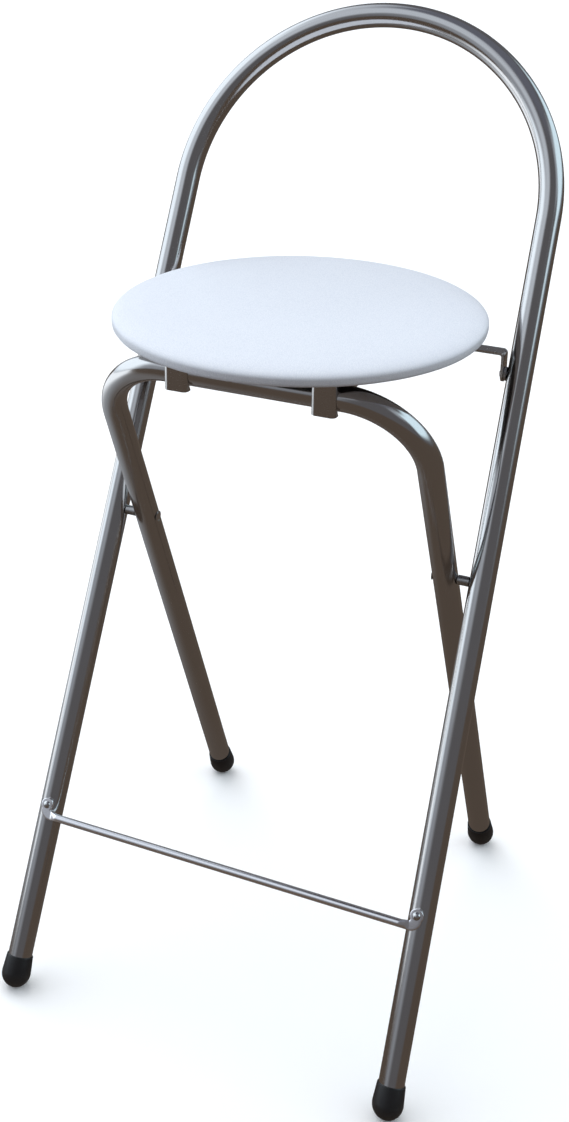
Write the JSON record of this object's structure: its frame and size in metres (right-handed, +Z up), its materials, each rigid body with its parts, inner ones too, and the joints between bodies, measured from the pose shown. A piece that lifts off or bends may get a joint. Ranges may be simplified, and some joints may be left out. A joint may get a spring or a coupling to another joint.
{
  "type": "folding bar stool",
  "caption": "Folding bar stool with a hoop back, pivoted rear legs, a tip-up round padded seat hooked over a crossbar, and a foot rail.",
  "frame": {"origin": "on the floor, under the middle of the open stool's box", "axes": "+Z up; -Y is the front of the stool, with the foot rail and the seat hooks; +X is to the right for someone who looks at the front"},
  "size_m": [0.4458, 0.5248, 0.9694],
  "materials": {
    "front_tube": "polished chrome plate on steel tube",
    "rear_tube": "polished chrome plate on steel tube",
    "rail_rod": "polished chrome plate on steel rod",
    "rivets": "polished domed steel",
    "spacer_steel": "turned steel",
    "pressed_steel": "chrome plate on pressed steel sheet",
    "foot_plastic": "black moulded plastic",
    "plywood": "raw plywood",
    "foam": "open-cell polyurethane foam",
    "vinyl": "white vinyl with a fine leather grain",
    "under_cloth": "black non-woven cloth",
    "screws": "zinc-plated steel",
    "staple_wire": "galvanised wire"
  },
  "bodies": {
    "hoop_frame_body": {"hoop_frame": "front_tube", "foot_rail": "rail_rod", "rail_rivet_left": "rivets", "rail_rivet_right": "rivets", "front_foot_cap_left": "foot_plastic", "front_foot_cap_right": "foot_plastic", "pivot_rivet_left": "rivets", "pivot_rivet_right": "rivets", "pivot_spacer_left": "spacer_steel", "pivot_spacer_right": "spacer_steel", "hinge_rivet_left": "rivets", "hinge_rivet_right": "rivets", "hinge_washer_left": "spacer_steel", "hinge_washer_right": "spacer_steel"},
    "rear_legs": {"rear_leg_frame": "rear_tube", "rear_foot_cap_left": "foot_plastic", "rear_foot_cap_right": "foot_plastic"},
    "seat": {"seat_hinge_bar": "pressed_steel", "seat_rail_left": "pressed_steel", "seat_rail_right": "pressed_steel", "seat_board": "plywood", "seat_foam": "foam", "seat_cover": "vinyl", "dust_cover": "under_cloth", "rail_screws": "screws", "hinge_bar_screws": "screws", "cover_staples": "staple_wire"}
  },
  "joints": [
    {"name": "seat_tip", "type": "hinge", "parent": "hoop_frame_body", "child": "seat", "pos_m": [0, 0.08346, 0.6415], "axis": [-1, 0, 0], "range_deg": [0, 117.3]},
    {"name": "leg_fold", "type": "hinge", "parent": "hoop_frame_body", "child": "rear_legs", "pos_m": [0, -0.0137, 0.45721], "axis": [-1, 0, 0], "range_deg": [0, 51.9]}
  ],
  "couplings": [
    {"joint": "leg_fold", "follows": "seat_tip", "ratio": 0.4423}
  ]
}
